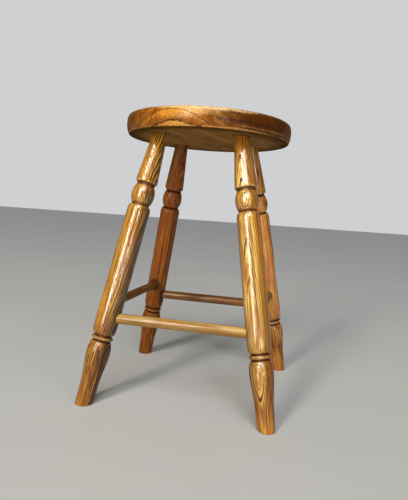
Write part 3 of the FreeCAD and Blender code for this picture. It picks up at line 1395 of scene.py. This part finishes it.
@dataclass(frozen=True)
class RoundSeat(Piece):
    """The seat: a turned disc whose rim is crowned, with a rounded upper edge."""

    legs: tuple[TurnedLeg, ...] = ()
    finish: Finish = Finish.SEAT
    around: int = 256
    grain_turn: float = 12.0     # degrees that the grain is turned from the stool's front, towards its left
    widest_place: float = 0.017  # above the underside
    side_curve: float = 0.040
    top_round: float = 0.006
    fine_step: float = 0.0008
    coarse_step: float = 0.006
    edge_softening: float = 0.0019
    bare_edge: float = 0.0005
    bare_lacquer: Lacquer = Lacquer(weight=0.0, roughness=0.5, wood_roughness=0.7, wood_shine=0.0, wear=0.2)
    foot = Vector()
    axis = UP
    wood = RimWood
    wood_name = "seat_wood"

    def grain(self) -> Matrix:
        """The axes of the seat's wood, whose grain lies level.

        Returns:
            A matrix from the wood's axes to the stool's.
        """
        turn = math.radians(self.grain_turn)
        along = Vector((-math.sin(turn), -math.cos(turn), 0.0))
        return grain_axes(Vector((0, 0, self.plan.seat_low.z)), along, UP, self.figure.heart_turn)

    @property
    def widest(self) -> float:
        """The height where the rim is widest."""
        return self.plan.seat_low.z + self.widest_place

    def on_rim(self, height: float) -> Vector:
        """The point of the rim's crowned side at a height.

        Args:
            height: above the floor.

        Returns:
            The point, as radius and height.
        """
        radius = (self.plan.seat_high.x - self.plan.seat_low.x) / 2
        depth = self.side_curve - math.sqrt(self.side_curve ** 2 - (height - self.widest) ** 2)
        return Vector((radius - depth, height))

    def outline(self) -> Outline:
        """Draws the seat from the middle of its underside to the middle of its top.

        Returns:
            The outline.
        """
        low = self.plan.seat_low.z
        high = self.plan.seat_high.z
        share = self.top_round / self.side_curve
        shoulder = self.on_rim((high - self.top_round - share * self.widest) / (1 - share))
        slope = math.asin((shoulder.y - self.widest) / self.side_curve)
        centre = shoulder - Vector((math.cos(slope), math.sin(slope))) * self.top_round
        half_way = (slope + math.pi / 2) / 2
        bend = centre + Vector((math.cos(half_way), math.sin(half_way))) * self.top_round
        outline = Outline(Vector((0.0, low)), self.fine_step, self.coarse_step, self.edge_softening)
        outline.line_to(self.on_rim(low).x, low)
        outline.arc_to(self.on_rim(self.widest), shoulder)
        outline.arc_to(bend, Vector((centre.x, high)))
        outline.line_to(0.0, high)
        return outline

    def leg_joint(self, leg: TurnedLeg) -> Joint:
        """Where a leg goes in, with dirt and painted shade on the underside only."""
        return Joint(self.plan.head(leg.node) + leg.axis * leg.top_radius, -leg.axis, leg.top_radius)

    def turned(self, lathe: Lathe) -> bpy.types.Object:
        """Turns the seat, and leaves its underside bare.

        Args:
            lathe: the lathe.

        Returns:
            The seat.
        """
        made = super().turned(lathe)
        quiet = replace(self.figure, boldness=0.15, streakiness=0.2)
        bare = BareWood("bare_seat_wood", BARE, quiet, self.bare_lacquer, self.grain())
        made.data.materials.append(bare.draw([self.leg_joint(leg) for leg in self.legs]))
        for face in made.data.polygons:
            if face.center.z < self.plan.seat_low.z + self.bare_edge:
                face.material_index = 1
        return made


@dataclass(frozen=True)
class Stretcher(Piece):
    """A plain round rail between two legs."""

    unevenness: float = 0.00035
    end_bevel: float = 0.001

    @property
    def foot(self) -> Vector:
        """The rail's middle, from which its outline goes both ways."""
        return self.plan.rail(self.node)[0]

    @property
    def axis(self) -> Vector:
        """The rail's direction."""
        return self.plan.rail_axis(self.node)

    def outline(self) -> Outline:
        """Draws the rail from end to end.

        Returns:
            The outline.
        """
        _, half, radius = self.plan.rail(self.node)
        bevel = self.end_bevel
        outline = Outline(Vector((0.0, -half)))
        for across, along in ((radius - bevel, -half), (radius, bevel - half), (radius, half - bevel),
                              (radius - bevel, half), (0.0, half)):
            outline.line_to(across, along)
        return outline


# Studio


@dataclass(frozen=True)
class SoftBox:
    """A rectangular soft light that is aimed at the stool. Its power is in watts."""

    name: str
    place: tuple[float, float, float]
    width: float
    height: float
    power: float
    tint: tuple[float, float, float] = (1.0, 0.985, 0.96)
    aim: tuple[float, float, float] = (0.0, 0.0, 0.25)
    mirrored: bool = True  # whether the lacquer mirrors it

    def build(self) -> bpy.types.Object:
        """Makes the light.

        Returns:
            The light.
        """
        data = bpy.data.lights.new(self.name, "AREA")
        data.shape = "RECTANGLE"
        data.size = self.width
        data.size_y = self.height
        data.energy = self.power
        data.color = self.tint
        light = put_in_scene(self.name, data)
        light.location = self.place
        light.rotation_euler = facing(Vector(self.aim) - Vector(self.place))
        light.visible_camera = False
        light.visible_glossy = self.mirrored
        return light


@dataclass(frozen=True)
class Studio:
    """The pale floor, the soft lights and the camera."""

    floor_size: float = 30.0
    floor_tone: Tone = colour(171, 171, 168)
    floor_roughness: float = 0.75
    floor_waves: float = 3.0  # a metre, in its faint cloudiness
    floor_shades: tuple[float, float] = (0.94, 1.06)
    backdrop_tone: Tone = colour(206, 207, 208)
    sky_tone: Tone = colour(246, 247, 250)
    sky_strength: float = 0.12
    daylight_from: tuple[float, float, float] = (0.20, -0.85, 0.90)
    daylight_strength: float = 2.3
    daylight_width: float = 34.0
    daylight_tint: tuple[float, float, float] = (1.0, 1.01, 1.06)
    window_tint: tuple[float, float, float] = (1.0, 0.94, 0.80)
    boxes: tuple[SoftBox, ...] = (
        SoftBox("left_window", (-1.30, -3.70, 1.90), 0.9, 3.2, 34.0, window_tint),
        SoftBox("left_window_gap", (-1.20, -3.65, 1.85), 0.48, 3.4, 150.0, window_tint),
        SoftBox("right_window", (1.80, -3.40, 0.62), 0.25, 0.5, 14.0),
        SoftBox("right_wall", (2.70, -2.60, 1.20), 1.5, 2.0, 44.0, mirrored=False),
    )
    frame_px: tuple[float, float] = (408.0, 500.0)
    focal_length_px: float = 465.9
    optical_centre_px: tuple[float, float] = (212.4, 290.1)
    sensor: float = 36.0  # millimetres
    camera_place: tuple[float, float, float] = (0.1905, -0.8793, 0.3474)
    camera_turn: tuple[float, float, float] = (80.347, -3.757, 11.267)

    def build(self) -> None:
        """Makes everything round the stool.

        The colours are shown as they are lit, without a film curve.
        """
        self.floor()
        self.sky()
        self.daylight()
        for box in self.boxes:
            box.build()
        self.camera()
        bpy.context.scene.view_settings.view_transform = "Standard"

    def floor(self) -> None:
        """Lays a plain pale floor with a faint cloudiness."""
        half = self.floor_size / 2
        mesh = bpy.data.meshes.new("floor")
        corners = [(-half, -half, 0), (half, -half, 0), (half, half, 0), (-half, half, 0)]
        mesh.from_pydata(corners, [], [(0, 1, 2, 3)])
        material = bpy.data.materials.new("pale_floor")
        pen = cleared(material)
        place = pen.take("ShaderNodeTexCoord", None, "Object") * self.floor_waves
        shade = pen.noise(place, detail=5.0, seed=1.0).between(*self.floor_shades)
        tone = pen.mix(1.0, self.floor_tone, shade, blend="MULTIPLY")
        inputs = {"Base Color": tone, "Roughness": self.floor_roughness}
        pen.node("ShaderNodeOutputMaterial", {"Surface": pen.take("ShaderNodeBsdfPrincipled", inputs)})
        mesh.materials.append(material)
        put_in_scene("floor", mesh)

    def sky(self) -> None:
        """Fills the room with even pale light, and shows the camera a pale backdrop."""
        world = bpy.data.worlds.new("studio")
        pen = cleared(world)
        light = pen.take("ShaderNodeBackground", {"Color": self.sky_tone, "Strength": self.sky_strength})
        seen = pen.take("ShaderNodeBackground", {"Color": self.backdrop_tone, "Strength": 1.0})
        direct = pen.take("ShaderNodeLightPath", None, "Is Camera Ray")
        both = pen.take("ShaderNodeMixShader", {0: direct, 1: light, 2: seen})
        pen.node("ShaderNodeOutputWorld", {"Surface": both})
        bpy.context.scene.world = world

    def daylight(self) -> None:
        """Lights stool and floor evenly from one broad, distant source."""
        data = bpy.data.lights.new("daylight", "SUN")
        data.energy = self.daylight_strength
        data.angle = math.radians(self.daylight_width)
        data.color = self.daylight_tint
        put_in_scene("daylight", data).rotation_euler = facing(-Vector(self.daylight_from))

    def camera(self) -> None:
        """Sets the camera where the photograph was taken from."""
        width, height = self.frame_px
        centre_x, centre_y = self.optical_centre_px
        data = bpy.data.cameras.new("camera")
        data.sensor_width = self.sensor
        data.lens = self.focal_length_px / height * self.sensor
        data.shift_x = (width / 2 - centre_x) / height
        data.shift_y = (centre_y - height / 2) / height
        camera = put_in_scene("camera", data)
        camera.location = self.camera_place
        camera.rotation_euler = [math.radians(angle) for angle in self.camera_turn]
        bpy.context.scene.camera = camera


@dataclass
class Stool:
    """The whole stool."""

    plan: Plan = field(default_factory=Plan)
    gloss: Lacquer = Lacquer(weight=0.95, roughness=0.13, wood_shine=0.05, grime_and_shade=0.34, ior=1.75)
    cream_gloss: Lacquer = replace(gloss, grime_and_shade=0.48, scuff=0.75, ior=1.7)
    orange_gloss: Lacquer = replace(gloss, grime_and_shade=0.30, scuff=0.6)
    seat_gloss: Lacquer = Lacquer(weight=0.28, roughness=0.16, wood_shine=0.04, waviness=0.25)
    satin: Lacquer = Lacquer(weight=0.6, roughness=0.18, wood_roughness=0.45, wear=0.4)
    # the wide darkening round the joints, as on the back-left leg, is partly painted shade under the seat
    dull: Lacquer = Lacquer(weight=0.3, roughness=0.25, wood_roughness=0.50, wood_shine=0.05, wear=0.4,
                            joint_darkening=2.6, grime_and_shade=0.0, scuff=0.75)
    cathedral: Pairs = (
        (0.0, 6.4), (53.0, 5.6), (111.0, 4.2), (150.0, 4.5), (200.0, 4.3), (255.6, 2.4), (314.5, 0.0),
        (328.0, -0.35), (341.0, -0.75), (358.0, -0.6), (379.0, -0.3), (414.0, -1.0), (491.0, 1.0))

    def legs(self) -> tuple[TurnedLeg, ...]:
        """The four legs, each cut from its own billet.

        Returns:
            The legs.
        """
        straight = Figure(heart_distance=90.0, heart_turn=84.0, ring_width=3.0, boldness=1.5,
                          porosity=1.3, streakiness=0.85, lean_out=-0.05, ripple=0.5,
                          plain_side=True, painted_side_shade=0.75, seed=3)
        flames = Figure(heart_distance=400.0, heart_turn=-11.0, ring_width=2.7, line_width=1.0,
                        boldness=2.7, wander=0.5, ripple=0.3, drift=0.0, fading=0.2, halo=0.9,
                        phase=0.556, bow=self.cathedral, seed=5)
        close = Figure(heart_distance=120.0, heart_turn=60.0, ring_width=2.3, line_width=1.0,
                       boldness=0.4, porosity=1.3, streakiness=0.6, ripple=0.8, seed=11)
        leaning = Figure(heart_distance=120.0, heart_turn=80.0, ring_width=3.0, boldness=1.2,
                         streakiness=0.8, lean_out=0.03, ripple=0.5, seed=17)
        billets = (
            ("leg_front_left", HONEY, straight, self.gloss, Finish.GOLDEN_LEG),
            ("leg_front_right", CREAM, flames, self.cream_gloss, Finish.GOLDEN_LEG),
            ("leg_back_left", RED, close, self.dull, Finish.RED_LEG),
            ("leg_back_right", ORANGE, leaning, self.orange_gloss, Finish.RED_LEG),
        )
        return tuple(TurnedLeg(node, self.plan, *rest) for node, *rest in billets)

    def stretchers(self) -> tuple[Stretcher, ...]:
        """The four rails, with a plain, close grain.

        Returns:
            The rails.
        """
        quiet = Figure(heart_distance=200.0, heart_turn=0.0, ring_width=2.6, line_width=1.0,
                       boldness=0.35, porosity=0.5, streakiness=0.25, lean_out=0.004)
        rails = (
            ("stretcher_front", TAN, self.satin, 40.0, 23),
            ("stretcher_back", BROWN, self.satin, 130.0, 29),
            ("stretcher_left", BROWN, self.dull, 220.0, 31),
            ("stretcher_right", BROWN, self.satin, 10.0, 37),
        )
        return tuple(
            Stretcher(node, self.plan, colours, replace(quiet, heart_turn=turn, seed=seed), lacquer)
            for node, colours, lacquer, turn, seed in rails)

    def seat(self, legs: tuple[TurnedLeg, ...]) -> RoundSeat:
        """The seat, with broad calm rings.

        Args:
            legs: the legs under it.

        Returns:
            The seat.
        """
        figure = Figure(heart_distance=85.0, heart_turn=0.0, ring_width=13.0, line_width=1.6,
                        boldness=0.35, lean_out=0.02, wander=4.0, ripple=0.6,
                        calm=(60.0, 100.0), seed=41)
        return RoundSeat("seat", self.plan, AMBER, figure, self.seat_gloss, legs=legs)

    def build(self) -> None:
        """Builds every piece."""
        lathe = Lathe()
        legs = self.legs()
        for piece in (self.seat(legs), *legs, *self.stretchers()):
            piece.build(lathe)


def main() -> None:
    """Builds the stool and the studio."""
    logging.basicConfig(level=logging.INFO, format="%(name)s: %(message)s")
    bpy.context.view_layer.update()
    Stool().build()
    Studio().build()


if __name__ == "__main__":
    main()
